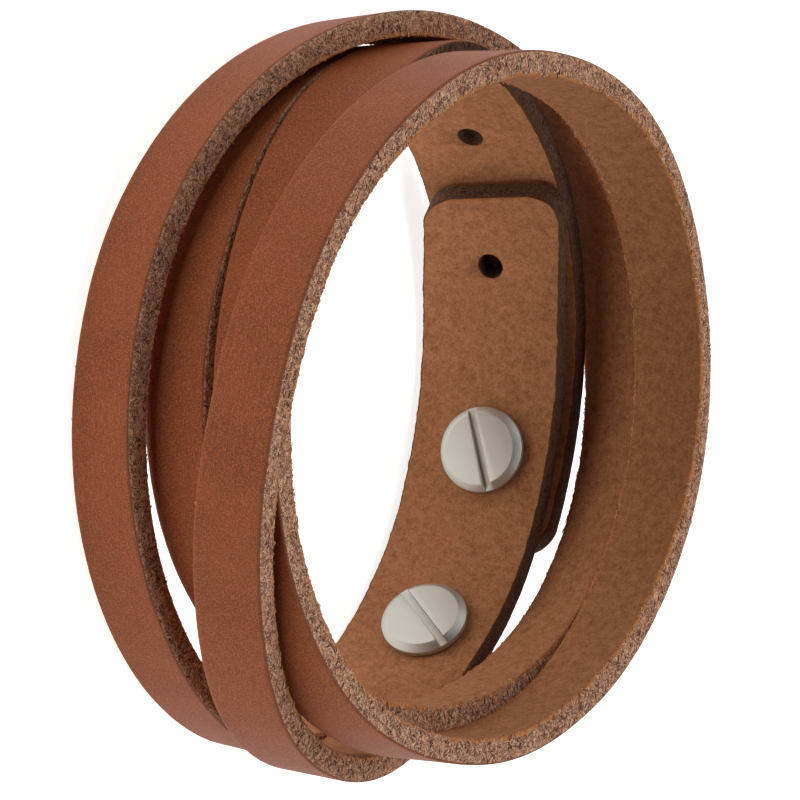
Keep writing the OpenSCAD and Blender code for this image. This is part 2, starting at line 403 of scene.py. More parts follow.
# the leather isn't quite flat and its cut edges are ragged, most of all at the suede face
def roughen(section, points, sizes):
    ring = np.arange(section["across"].shape[1])[None, :]
    onFace = np.clip(section["rim"] / sizes["waveFade"], 0, 1)
    wave = sizes["wave"] * noiseAt(points, sizes["waveLength"], 1) * onFace
    section["through"] = section["through"] + wave * np.sign(section["depth"] - 0.5)
    (coarse, fine), (tuft, drift) = sizes["edgeLengths"], sizes["tuftLengths"]
    ragged = 0.5 * noiseAt(points, coarse, 2) + 0.6 * noiseAt(points, fine, 3)
    tufts = np.abs(noiseAt(points, tuft, 4)) + 0.5 * noiseAt(points, drift, 5)
    nearSuede = np.clip(1 - section["depth"] * sizes["tuftDepth"], 0, 1)
    freeEdge = (ring > ringStops[0]) & (ring <= ringStops[3])
    slitEdge = (ring > ringStops[4]) & (section["rim"] < sizes["slitReach"])
    push = sizes["edge"] * (ragged - sizes["edgeSet"]) + sizes["rim"] * (tufts - sizes["tuftSet"]) * nearSuede
    slitPush = sizes["slitShare"] * slitEdge * np.where(section["isTab"][:, None], 0, push)
    section["across"] = section["across"] + freeEdge * push - slitPush


def strapMesh(sizes):
    angles, toEnd = stationAngles(sizes)
    slitStart = ringStops[4]
    sections, spots = {}, {}
    for side in (-1, 1):
        sections[side] = strandSection(side, sizes, angles, toEnd)
        roughen(sections[side], placeSection(side, sections[side], angles), raggedness)
        spots[side] = placeSection(side, sections[side], angles)
    m, k = sections[1]["across"].shape
    isTab = sections[1]["isTab"]
    # on a tab, the two strands share the points along its middle
    for j in [0] + list(range(slitStart, k)):
        spots[-1][isTab, j] = spots[1][isTab, j] = (spots[-1][isTab, j] + spots[1][isTab, j]) / 2
    middleLine = (spots[-1][:, 0] + spots[1][:, 0]) / 2
    along = np.concatenate([[0], np.cumsum(np.linalg.norm(np.diff(middleLine, axis=0), axis=1))])
    faces, kinds, mapLength, mapSection = [], [], [], []
    for base, side in ((0, -1), (m * k, 1)):
        section = sections[side]
        run, rim = np.repeat(along[:, None], k, axis=1), np.clip(section["rim"], 0, sizes["rimRange"])
        mapLength.append(np.stack([run, side * section["across"]], axis=-1).reshape(-1, 2))
        mapSection.append(np.stack([section["depth"], rim / sizes["rimRange"]], axis=-1).reshape(-1, 2))
        for i in range(m - 1):
            for j in range(slitStart if isTab[i] and isTab[i + 1] else k):
                a, b = base + i * k + j, base + i * k + (j + 1) % k
                faces.append([a, b, b + k, a + k] if side > 0 else [a + k, b + k, b, a])
                grainStop = ringStops[1] + (1 if section["rubbed"][i] else -1)
                isGrain, isSuede = j < grainStop or j == k - 1, ringStops[3] <= j < slitStart
                kinds.append(grainSlot if isGrain else suedeSlot if isSuede else edgeSlot)
        for i, turned in ((0, side > 0), (m - 1, side < 0)):
            cap = [base + i * k + j for j in range(slitStart + 1)]
            faces.append(cap[::-1] if turned else cap)
            kinds.append(edgeSlot)
    mesh = bpy.data.meshes.new("strapLeather")
    points = np.concatenate([spots[-1].reshape(-1, 3), spots[1].reshape(-1, 3)]) * mm
    mesh.from_pydata(points.tolist(), [], faces)
    mesh.polygons.foreach_set("material_index", kinds)
    corners = np.empty(len(mesh.loops), dtype=np.int32)
    mesh.loops.foreach_get("vertex_index", corners)
    for name, values in (("strapMm", np.concatenate(mapLength)), ("section", np.concatenate(mapSection))):
        mesh.uv_layers.new(name=name).data.foreach_set("uv", values[corners].astype(np.float32).ravel())
    work = bmesh.new()
    work.from_mesh(mesh)
    bmesh.ops.remove_doubles(work, verts=work.verts, dist=sizes["weld"] * mm)
    bmesh.ops.delete(work, geom=[v for v in work.verts if not v.link_faces], context="VERTS")
    print("strap:", len(work.faces), "faces,", sum(not e.is_manifold for e in work.edges), "open edges")
    work.to_mesh(mesh)
    work.free()
    mesh.shade_smooth()
    return mesh


punchSides = 40
punchReach = {  # lowest and highest point of each punch above the middle of its tab's leather, mm
    "double": (-3.2, 8.2), "single": (-3.2, 3.2), "spareInner": (-2.0, 1.55), "spareOuter": (-1.55, 2.0),
}


# one punch for each hole, with the strap's own maps so that its wall reads as cut leather
def punchMesh(sizes):
    leather = sizes["leather"]
    rows = [(angle, sizes["screwHole"], sizes["screwRise"], punchReach[name])
            for name, angle in sizes["screwsAt"].items()]
    rows += [(sizes["spareInnerAt"], sizes["spareHole"], 0, punchReach["spareInner"])]
    rows += [(angle, sizes["spareHole"], 0, punchReach["spareOuter"]) for angle in sizes["spareOuterAt"]]
    work = bmesh.new()
    maps = [work.loops.layers.uv.new(name) for name in ("strapMm", "section")]
    for angle, width, rise, levels in rows:
        place = onTab(angle, rise)
        rings, heights = [], {}
        for level in levels:
            ring = []
            for k in range(punchSides):
                a = 2 * math.pi * k / punchSides
                spot = Vector((width / 2 * math.cos(a) * mm, width / 2 * math.sin(a) * mm, level * mm))
                ring.append(work.verts.new(place @ spot))
                heights[ring[-1]] = level
            rings.append(ring)
        low, high = rings
        nextOne = [(k + 1) % punchSides for k in range(punchSides)]
        walls = [work.faces.new((low[k], low[n], high[n], high[k])) for k, n in enumerate(nextOne)]
        walls += [work.faces.new(low[::-1]), work.faces.new(high)]
        for face in walls:
            face.material_index = edgeSlot
            for loop in face.loops:
                loop[maps[0]].uv = (angle, heights[loop.vert])
                loop[maps[1]].uv = ((heights[loop.vert] + leather / 2) / leather, 0)
    mesh = bpy.data.meshes.new("punches")
    work.to_mesh(mesh)
    work.free()
    return mesh


leatherLooks = {
    "grainDeep": "#834120", "grainMid": "#a9592e", "grainWarm": "#b36534", "grainBurnish": "#8a5540",
    "suedeDeep": "#875738", "suedeMid": "#ab754f", "suedeLight": "#c38d62",
    "fibreDark": "#673f32", "fibreMid": "#bb8263", "fibreLight": "#f5c9a4", "fibreRust": "#cf8548",
    # painted shade: near-black colour for the tabs' cut edges
    "tabEdgeShade": "#321e15",
}
leatherGrain = {  # sizes of the patterns, mm
    "tone": 7, "mottle": 0.17, "pores": 0.16, "flexed": 16, "foldSlant": 28,  # grain; slant in degrees
    "threads": ((0.6, 0.045), (0.42, 0.055)), "fibreClumps": 1.3, "fibreCurls": 0.7,  # cut edge
    "blotch": 0.9, "nap": 0.25,                                               # suede
}


# the two numbers of one of the strap's own maps, as sockets
def readMap(tree, name):
    strapMap = addNode(tree, "ShaderNodeUVMap", {"uv_map": name})
    return addNode(tree, "ShaderNodeSeparateXYZ", inputs={"Vector": strapMap.outputs["UV"]}).outputs


def makeGrainLeather(looks):
    # vegetable-tanned and waxed: fine mottling under a low satin shine
    material, tree = newMaterial("cognacGrainLeather")
    place = addNode(tree, "ShaderNodeTexCoord").outputs["Object"]
    tone = addNode(tree, "ShaderNodeTexNoise", inputs={
        "Vector": place, "Scale": perMm(leatherGrain["tone"]), "Detail": 3})
    mottle = addNode(tree, "ShaderNodeTexNoise", inputs={
        "Vector": place, "Scale": perMm(leatherGrain["mottle"]), "Detail": 2, "Roughness": 0.8})
    pores = addNode(tree, "ShaderNodeTexVoronoi", {"feature": "SMOOTH_F1"}, {
        "Vector": place, "Scale": perMm(leatherGrain["pores"]), "Smoothness": 0.3})
    both = addNode(tree, "ShaderNodeMath", {"operation": "MULTIPLY_ADD"}, {
        0: pores.outputs["Distance"], 1: 0.28, 2: mottle.outputs["Fac"]})
    ramp = addNode(tree, "ShaderNodeValToRGB", inputs={"Fac": both.outputs[0]})
    colour = setRamp(ramp, [
        (0.44, looks["grainWarm"]), (0.56, looks["grainMid"]), (0.67, looks["grainDeep"])])
    warmth = addNode(tree, "ShaderNodeMapRange", inputs={
        "Value": tone.outputs["Fac"], "From Min": 0.35, "From Max": 0.7, "To Min": 0.0, "To Max": 0.22})
    section = readMap(tree, "section")
    wander = addNode(tree, "ShaderNodeMath", {"operation": "MULTIPLY_ADD"}, {
        0: mottle.outputs["Fac"], 1: 0.02, 2: section["Y"]})
    burnish = addNode(tree, "ShaderNodeMapRange", {"interpolation_type": "SMOOTHSTEP"}, {
        "Value": wander.outputs[0], "From Min": 0.012, "From Max": 0.05, "To Min": 0.55, "To Max": 0.0})
    for share, tint in ((warmth, "grainWarm"), (burnish, "grainBurnish")):
        mixed = addNode(tree, "ShaderNodeMix", {"data_type": "RGBA"}, {
            0: share.outputs["Result"], 6: colour, 7: linearColour(looks[tint])})
        colour = mixed.outputs[2]
    # slanting folds where the strap has been flexed most
    length = addNode(tree, "ShaderNodeUVMap", {"uv_map": "strapMm"})
    slanted = addNode(tree, "ShaderNodeMapping", inputs={
        "Vector": length.outputs["UV"], "Scale": (0.45, 2.2, 1),
        "Rotation": (0, 0, math.radians(leatherGrain["foldSlant"]))})
    folds = addNode(tree, "ShaderNodeTexNoise", {"noise_dimensions": "2D"}, {
        "Vector": slanted.outputs["Vector"], "Scale": 1.0, "Detail": 2, "Distortion": 0.4})
    flex = addNode(tree, "ShaderNodeTexNoise", inputs={
        "Vector": place, "Scale": perMm(leatherGrain["flexed"]), "Detail": 0})
    flexed = addNode(tree, "ShaderNodeMapRange", inputs={
        "Value": flex.outputs["Fac"], "From Min": 0.48, "From Max": 0.62, "To Min": 0.1, "To Max": 1.4})
    creases = addNode(tree, "ShaderNodeMath", {"operation": "MULTIPLY"}, {
        0: folds.outputs["Fac"], 1: flexed.outputs["Result"]})
    relief = addNode(tree, "ShaderNodeMath", {"operation": "SUBTRACT"}, {
        0: creases.outputs[0], 1: both.outputs[0]})
    bump = addNode(tree, "ShaderNodeBump", inputs={
        "Height": relief.outputs[0], "Strength": 0.6, "Distance": 0.1 * mm})
    rough = addNode(tree, "ShaderNodeMapRange", inputs={
        "Value": mottle.outputs["Fac"], "To Min": 0.5, "To Max": 0.68})
    shader = addNode(tree, "ShaderNodeBsdfPrincipled", inputs={
        "Base Color": colour, "Roughness": rough.outputs["Result"], "Normal": bump.outputs["Normal"],
        "Specular IOR Level": 0.22})
    addNode(tree, "ShaderNodeOutputMaterial", inputs={"Surface": shader.outputs["BSDF"]})
    return material


# 1 on the two full-width tabs, whose edges get painted shade, dark and smooth, and 0 on the strands
def tabShadeShare(tree):
    along = readMap(tree, "strapMm")["X"]
    shares = []
    for near, far, atNear, atFar in strapSizes["shadedTabEdges"]:
        share = addNode(tree, "ShaderNodeMapRange", inputs={
            "Value": along, "From Min": near, "From Max": far, "To Min": atNear, "To Max": atFar})
        shares.append(share.outputs["Result"])
    return addNode(tree, "ShaderNodeMath", {"operation": "MAXIMUM"}, dict(enumerate(shares))).outputs[0]


def makeCutEdge(looks):
    # knife-cut fibre bundles: pale threads winding over dark hollows
    material, tree = newMaterial("rawCutLeatherEdge")
    place = addNode(tree, "ShaderNodeTexCoord").outputs["Object"]
    lines = []
    for size, width in leatherGrain["threads"]:
        field = addNode(tree, "ShaderNodeTexNoise", inputs={
            "Vector": place, "Scale": perMm(size), "Detail": 1, "Roughness": 0.4, "Distortion": 0.5})
        away = addNode(tree, "ShaderNodeMath", {"operation": "SUBTRACT"}, {0: field.outputs["Fac"], 1: 0.5})
        gap = addNode(tree, "ShaderNodeMath", {"operation": "ABSOLUTE"}, {0: away.outputs[0]})
        line = addNode(tree, "ShaderNodeMapRange", {"interpolation_type": "SMOOTHSTEP"}, {
            "Value": gap.outputs[0], "From Min": width * 0.2, "From Max": width,
            "To Min": 1.0, "To Max": 0.0})
        lines.append(line.outputs["Result"])
    threads = addNode(tree, "ShaderNodeMath", {"operation": "MAXIMUM"}, dict(enumerate(lines))).outputs[0]
    clumps = addNode(tree, "ShaderNodeTexNoise", inputs={
        "Vector": place, "Scale": perMm(leatherGrain["fibreClumps"]), "Detail": 2, "Roughness": 0.6})
    body = addNode(tree, "ShaderNodeValToRGB", inputs={"Fac": clumps.outputs["Fac"]})
    colour = setRamp(body, [(0.33, looks["fibreDark"]), (0.66, looks["fibreMid"])])
    threadShare = addNode(tree, "ShaderNodeMath", {"operation": "MULTIPLY"}, {0: threads, 1: 0.8})
    section = readMap(tree, "section")
    wander = addNode(tree, "ShaderNodeMath", {"operation": "MULTIPLY_ADD"}, {
        0: clumps.outputs["Fac"], 1: 0.7, 2: section["X"]})
    rustShare = addNode(tree, "ShaderNodeMapRange", inputs={
        "Value": wander.outputs[0], "From Min": 0.38, "From Max": 0.5, "To Min": 0.9, "To Max": 0.0})
    burnish = addNode(tree, "ShaderNodeMapRange", inputs={
        "Value": section["X"], "From Min": 0.93, "From Max": 1.0, "To Min": 0.0, "To Max": 0.5})
    # painted shade: the tabs' cut edges are darkened towards near-black
    tabShade = addNode(tree, "ShaderNodeMath", {"operation": "MULTIPLY"}, {0: tabShadeShare(tree), 1: 0.85})
    for share, tint in ((threadShare, "fibreLight"), (rustShare, "fibreRust"), (burnish, "grainBurnish"),
                        (tabShade, "tabEdgeShade")):
        mixed = addNode(tree, "ShaderNodeMix", {"data_type": "RGBA"}, {
            0: share.outputs[0], 6: colour, 7: linearColour(looks[tint])})
        colour = mixed.outputs[2]
    height = addNode(tree, "ShaderNodeMath", {"operation": "MULTIPLY_ADD"}, {
        0: clumps.outputs["Fac"], 1: 1.5, 2: threads})
    bump = addNode(tree, "ShaderNodeBump", inputs={
        "Height": height.outputs[0], "Strength": 0.55, "Distance": 0.09 * mm})
    shader = addNode(tree, "ShaderNodeBsdfPrincipled", inputs={
        "Base Color": colour, "Roughness": 0.9, "Normal": bump.outputs["Normal"], "Specular IOR Level": 0.3})
    addNode(tree, "ShaderNodeOutputMaterial", inputs={"Surface": shader.outputs["BSDF"]})
    return material


def makeSuede(looks):
    # unfinished flesh side: short matt nap with soft small blotches
    material, tree = newMaterial("fleshSideSuede")
    place = addNode(tree, "ShaderNodeTexCoord").outputs["Object"]
    blotch = addNode(tree, "ShaderNodeTexNoise", inputs={
        "Vector": place, "Scale": perMm(leatherGrain["blotch"]), "Detail": 3, "Roughness": 0.6})
    nap = addNode(tree, "ShaderNodeTexNoise", inputs={
        "Vector": place, "Scale": perMm(leatherGrain["nap"]), "Detail": 2, "Roughness": 0.7})
    both = addNode(tree, "ShaderNodeMix", inputs={0: 0.55, 2: blotch.outputs["Fac"], 3: nap.outputs["Fac"]})
    ramp = addNode(tree, "ShaderNodeValToRGB", inputs={"Fac": both.outputs[0]})
    napped = setRamp(ramp, [(0.32, looks["suedeDeep"]), (0.5, looks["suedeMid"]), (0.7, looks["suedeLight"])])
    section = readMap(tree, "section")
    fray = addNode(tree, "ShaderNodeMath", {"operation": "MULTIPLY_ADD"}, {
        0: nap.outputs["Fac"], 1: 0.06, 2: section["Y"]})
    frayShare = addNode(tree, "ShaderNodeMapRange", inputs={
        "Value": fray.outputs[0], "From Min": 0.032, "From Max": 0.06, "To Min": 0.5, "To Max": 0.0})
    # the rim's orange is weaker on the tabs, part of their painted shade
    onStrands = addNode(tree, "ShaderNodeMath", {"operation": "MULTIPLY_ADD"}, {
        0: tabShadeShare(tree), 1: -0.3, 2: 1.0})
    rimShare = addNode(tree, "ShaderNodeMath", {"operation": "MULTIPLY"}, {
        0: frayShare.outputs["Result"], 1: onStrands.outputs[0]})
    colour = addNode(tree, "ShaderNodeMix", {"data_type": "RGBA"}, {
        0: rimShare.outputs[0], 6: napped, 7: linearColour(looks["fibreRust"])})
    bump = addNode(tree, "ShaderNodeBump", inputs={
        "Height": both.outputs[0], "Strength": 0.6, "Distance": 0.1 * mm})
    shader = addNode(tree, "ShaderNodeBsdfPrincipled", inputs={
        "Base Color": colour.outputs[2], "Roughness": 0.95, "Normal": bump.outputs["Normal"],
        "Specular IOR Level": 0.2, "Sheen Weight": 0.1, "Sheen Roughness": 0.5,
        "Sheen Tint": linearColour(looks["suedeLight"])})
    addNode(tree, "ShaderNodeOutputMaterial", inputs={"Surface": shader.outputs["BSDF"]})
    return material


# loose fibres take their tone from the number that the tree stores on each of them
def makeLooseFibre(name, stops):
    material, tree = newMaterial(name)
    tone = addNode(tree, "ShaderNodeAttribute", {"attribute_name": "fibreTone"})
    ramp = addNode(tree, "ShaderNodeValToRGB", inputs={"Fac": tone.outputs["Fac"]})
    shader = addNode(tree, "ShaderNodeBsdfPrincipled", inputs={
        "Base Color": setRamp(ramp, stops), "Roughness": 0.85, "Specular IOR Level": 0.3})
    addNode(tree, "ShaderNodeOutputMaterial", inputs={"Surface": shader.outputs["BSDF"]})
    return material


strap = addObject("strapLeather", strapMesh(strapSizes))
for material in (makeGrainLeather(leatherLooks), makeCutEdge(leatherLooks), makeSuede(leatherLooks)):
    strap.data.materials.append(material)
punches = addObject("punches", punchMesh(strapSizes))
punched = {"operation": "DIFFERENCE", "object": punches, "solver": "EXACT", "material_mode": "INDEX"}
strap.data = plainMesh(strap, after=[("BOOLEAN", punched)])
bpy.data.objects.remove(punches)
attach(strap, "root")
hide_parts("strap")
print("stage 2: strap,", len(strap.data.polygons), "faces")


# mm; the tabs' edges, dark with painted shade, have no fibres, and one is drawn about twice as wide as it is,
# so that it shows
fibresShared = {"Along From": 68, "Along To": 432, "Width": 0.075}
fibreLayers = {  # mm and degrees; depth runs from 0 at the suede face to 1 at the grain
    "edgeThreadsInner": {"Depth From": 0.06, "Depth To": 0.5, "Rim Reach": 0.05, "Per Square Mm": 7.0,
                         "Bare Share": 0.44, "Length": 0.62, "Lift": 5, "Curl": 0.14, "Seed": 3},
    "edgeThreadsOuter": {"Depth From": 0.5, "Depth To": 0.86, "Rim Reach": 0.05, "Per Square Mm": 8.6,
                         "Bare Share": 0.44, "Length": 0.58, "Lift": 4, "Curl": 0.12, "Seed": 7},
    "suedeRimFringe": {"Depth From": -1, "Depth To": 0.12, "Rim Reach": 0.22, "Per Square Mm": 8.6,
                       "Bare Share": 0.4, "Length": 0.32, "Lift": 32, "Curl": 0.16, "Seed": 11},
}


# short curled fibres scattered over the cut edges, where the strap's maps say
def fibreTree(material, labels):
    tree, given, result = newGeometryTree("leatherFibres", labels)
    size = {label: given.outputs[label] for label in labels}
    maps = {}
    for name in ("section", "strapMm"):
        read = addNode(tree, "GeometryNodeInputNamedAttribute", {"data_type": "FLOAT_VECTOR"}, {"Name": name})
        maps[name] = addNode(tree, "ShaderNodeSeparateXYZ", inputs={
            "Vector": read.outputs["Attribute"]}).outputs
    depth, rim, along = maps["section"]["X"], maps["section"]["Y"], maps["strapMm"]["X"]
    reach = addNode(tree, "ShaderNodeMath", {"operation": "MULTIPLY"}, {
        0: size["Rim Reach"], 1: 1 / strapSizes["rimRange"]})
    clump = addNode(tree, "ShaderNodeTexNoise", inputs={
        "Scale": perMm(leatherGrain["fibreClumps"]), "Detail": 2, "Roughness": 0.6})
    where = None
    for value, operation, limit in (
            (rim, "LESS_THAN", reach.outputs[0]), (clump.outputs["Fac"], "GREATER_THAN", size["Bare Share"]),
            (along, "GREATER_THAN", size["Along From"]), (along, "LESS_THAN", size["Along To"]),
            (depth, "GREATER_THAN", size["Depth From"]), (depth, "LESS_THAN", size["Depth To"])):
        test = addNode(tree, "FunctionNodeCompare", {"operation": operation}, {0: value, 1: limit})
        if where is not None:
            test = addNode(tree, "FunctionNodeBooleanMath", {"operation": "AND"}, {
                0: where, 1: test.outputs[0]})
        where = test.outputs[0]
    density = addNode(tree, "ShaderNodeMath", {"operation": "MULTIPLY"}, {
        0: size["Per Square Mm"], 1: 1 / mm ** 2})
    points = addNode(tree, "GeometryNodeDistributePointsOnFaces", inputs={
        "Mesh": given.outputs["Geometry"], "Selection": where, "Density": density.outputs[0],
        "Seed": size["Seed"]})

    # one fibre: a low arch, thickest in its middle
    length = addNode(tree, "ShaderNodeMath", {"operation": "MULTIPLY"}, {0: size["Length"], 1: mm})
    ends = {"Resolution": 2}
    for name, axis, share in (("Start", "X", -0.5), ("Middle", "Z", 0.22), ("End", "X", 0.5)):
        away = addNode(tree, "ShaderNodeMath", {"operation": "MULTIPLY"}, {0: length.outputs[0], 1: share})
        ends[name] = addNode(tree, "ShaderNodeCombineXYZ", inputs={axis: away.outputs[0]}).outputs[0]
    line = addNode(tree, "GeometryNodeCurveQuadraticBezier", inputs=ends)
    alongLine = addNode(tree, "GeometryNodeSplineParameter")
    hump = addNode(tree, "ShaderNodeMath", {"operation": "PINGPONG"}, {
        0: alongLine.outputs["Factor"], 1: 0.5})
    taper = addNode(tree, "ShaderNodeMath", {"operation": "MULTIPLY_ADD"}, {
        0: hump.outputs[0], 1: 1.3, 2: 0.35})
    slim = addNode(tree, "GeometryNodeSetCurveRadius", inputs={
        "Curve": line.outputs["Curve"], "Radius": taper.outputs[0]})
    radius = addNode(tree, "ShaderNodeMath", {"operation": "MULTIPLY"}, {0: size["Width"], 1: mm / 2})
    profile = addNode(tree, "GeometryNodeCurvePrimitiveCircle", inputs={
        "Resolution": 3, "Radius": radius.outputs[0]})
    fibre = addNode(tree, "GeometryNodeCurveToMesh", inputs={
        "Curve": slim.outputs["Curve"], "Profile Curve": profile.outputs["Curve"], "Fill Caps": True})

    # laid on the edge at a random turn, tilt and size
    spin = addNode(tree, "FunctionNodeRandomValue", inputs={3: 2 * math.pi, "Seed": size["Seed"]})
    lift = addNode(tree, "ShaderNodeMath", {"operation": "RADIANS"}, {0: size["Lift"]})
    fall = addNode(tree, "ShaderNodeMath", {"operation": "MULTIPLY"}, {0: lift.outputs[0], 1: -1.0})
    lean = addNode(tree, "FunctionNodeRandomValue", inputs={
        2: fall.outputs[0], 3: lift.outputs[0], "Seed": 5})
    turn = addNode(tree, "ShaderNodeCombineXYZ", inputs={"Y": lean.outputs[1], "Z": spin.outputs[1]})
    turned = addNode(tree, "FunctionNodeRotateRotation", {"rotation_space": "LOCAL"}, {
        "Rotation": points.outputs["Rotation"], "Rotate By": turn.outputs[0]})
    stretch = addNode(tree, "FunctionNodeRandomValue", inputs={2: 0.5, 3: 1.4, "Seed": 8})
    laid = addNode(tree, "GeometryNodeInstanceOnPoints", inputs={
        "Points": points.outputs["Points"], "Instance": fibre.outputs["Mesh"],
        "Rotation": turned.outputs["Rotation"], "Scale": stretch.outputs[1]})
    tone = addNode(tree, "FunctionNodeRandomValue", inputs={"Seed": 13})
    toned = addNode(tree, "GeometryNodeStoreNamedAttribute", {"data_type": "FLOAT", "domain": "INSTANCE"}, {
        "Geometry": laid.outputs["Instances"], "Name": "fibreTone", "Value": tone.outputs[1]})
    real = addNode(tree, "GeometryNodeRealizeInstances", inputs={"Geometry": toned.outputs["Geometry"]})

    # curled, and pressed flat where a fibre would reach through the floor
    bend = addNode(tree, "ShaderNodeTexNoise", inputs={
        "Scale": perMm(leatherGrain["fibreCurls"]), "Detail": 1})
    centred = addNode(tree, "ShaderNodeVectorMath", {"operation": "SUBTRACT"}, {
        0: bend.outputs["Color"], 1: (0.5, 0.5, 0.5)})
    curl = addNode(tree, "ShaderNodeMath", {"operation": "MULTIPLY"}, {0: size["Curl"], 1: 2 * mm})
    offset = addNode(tree, "ShaderNodeVectorMath", {"operation": "SCALE"}, {
        0: centred.outputs[0], "Scale": curl.outputs[0]})
    curled = addNode(tree, "GeometryNodeSetPosition", inputs={
        "Geometry": real.outputs["Geometry"], "Offset": offset.outputs[0]})
    position = addNode(tree, "GeometryNodeInputPosition")
    spot = addNode(tree, "ShaderNodeSeparateXYZ", inputs={"Vector": position.outputs["Position"]})
    aboveFloor = addNode(tree, "ShaderNodeMath", {"operation": "MAXIMUM"}, {0: spot.outputs["Z"], 1: 0.0})
    pressed = addNode(tree, "ShaderNodeCombineXYZ", inputs={
        "X": spot.outputs["X"], "Y": spot.outputs["Y"], "Z": aboveFloor.outputs[0]})
    rested = addNode(tree, "GeometryNodeSetPosition", inputs={
        "Geometry": curled.outputs["Geometry"], "Position": pressed.outputs[0]})
    smooth = addNode(tree, "GeometryNodeSetShadeSmooth", inputs={"Geometry": rested.outputs["Geometry"]})
    dressed = addNode(tree, "GeometryNodeSetMaterial", inputs={
        "Geometry": smooth.outputs["Geometry"], "Material": material})
    tree.links.new(dressed.outputs["Geometry"], result.inputs["Geometry"])
    return tree


looks = leatherLooks
# cut fibre ends: mostly pale tan, some still dyed dark
edgeFibre = makeLooseFibre("paleCutFibre", [
    (0.1, looks["fibreDark"]), (0.35, looks["fibreMid"]), (0.8, looks["fibreLight"])])
# undyed flesh fibre rubbed up along the rim: warm orange tan
rimFibre = makeLooseFibre("warmRimFibre", [
    (0.0, looks["fibreRust"]), (0.6, looks["suedeLight"]), (1.0, looks["fibreLight"])])
for name, sizes in fibreLayers.items():
    values = {**fibresShared, **sizes}
    tree = fibreTree(rimFibre if "Rim" in name else edgeFibre, values)
    fibres = addObject(name, plainMesh(strap, tree, values))
    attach(fibres, "root")
    print("fibres:", name, sum(len(p.vertices) - 2 for p in fibres.data.polygons), "triangles")
print("stage 3: fibres")


screwSizes = {  # mm, degrees
    "screw": {"Width": 9.8, "Height": 1.3, "Rim Bevel": 0.8, "Slot Width": 0.9, "Slot Depth": 0.6,
              "Stem Width": 2.6, "Bore Width": 0.0},
    "post": {"Width": 9.0, "Height": 1.0, "Rim Bevel": 0.8, "Slot Width": 0.0, "Slot Depth": 0.0,
             "Stem Width": 4.0, "Bore Width": 2.8},
    "slotTurn": {"double": 68, "single": 36},
    "softEdge": 0.12, "softAngle": 25,
    "gap": 0.1,          # between metal and leather
    "stemSunk": 0.2,     # how far a stem runs into its head
    "rimSides": 96, "stemSides": 48,
}


